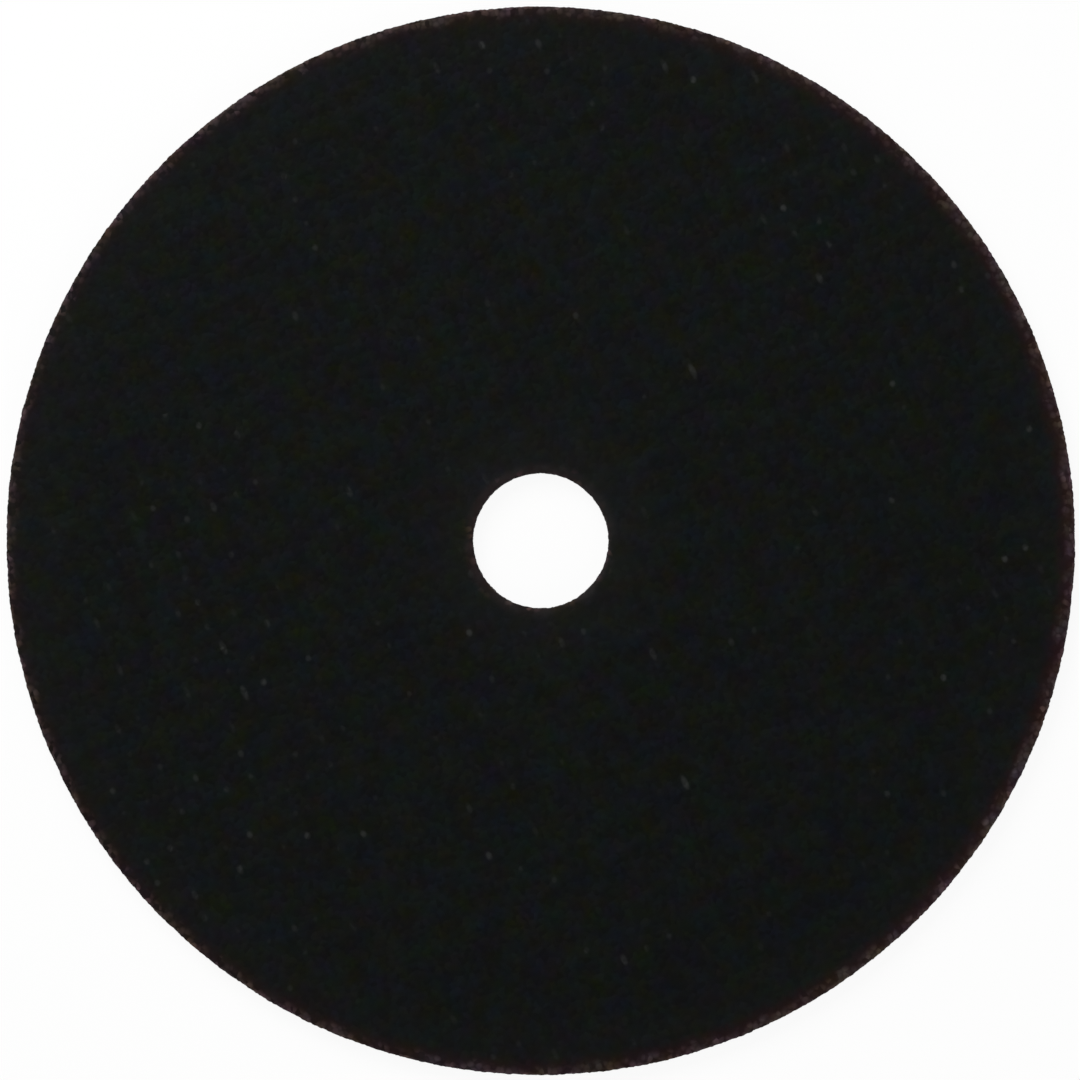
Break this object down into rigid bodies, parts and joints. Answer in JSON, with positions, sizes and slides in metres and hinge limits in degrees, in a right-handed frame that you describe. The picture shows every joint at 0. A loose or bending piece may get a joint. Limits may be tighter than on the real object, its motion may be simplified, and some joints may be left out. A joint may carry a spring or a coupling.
{
  "type": "cut-off wheel",
  "caption": "Thin flat black abrasive disc with a plain central arbor hole and a brown grit rim, clamped between flanges on a small grinder to cut metal.",
  "frame": {"origin": "on the arbor hole's axis, at the underside of the wheel, which rests on Z = 0", "axes": "+Z along the arbor hole's axis, from the underside to the upper face; X and Y in the plane of the wheel"},
  "size_m": [0.0762, 0.0762, 0.0016],
  "materials": {
    "bonded_abrasive": "matte black bonded grit with a faint woven glass mesh under the skin and bare brown grit at the rim and in the hole"
  },
  "bodies": {
    "root": {"cut_off_wheel": "bonded_abrasive"}
  },
  "joints": []
}
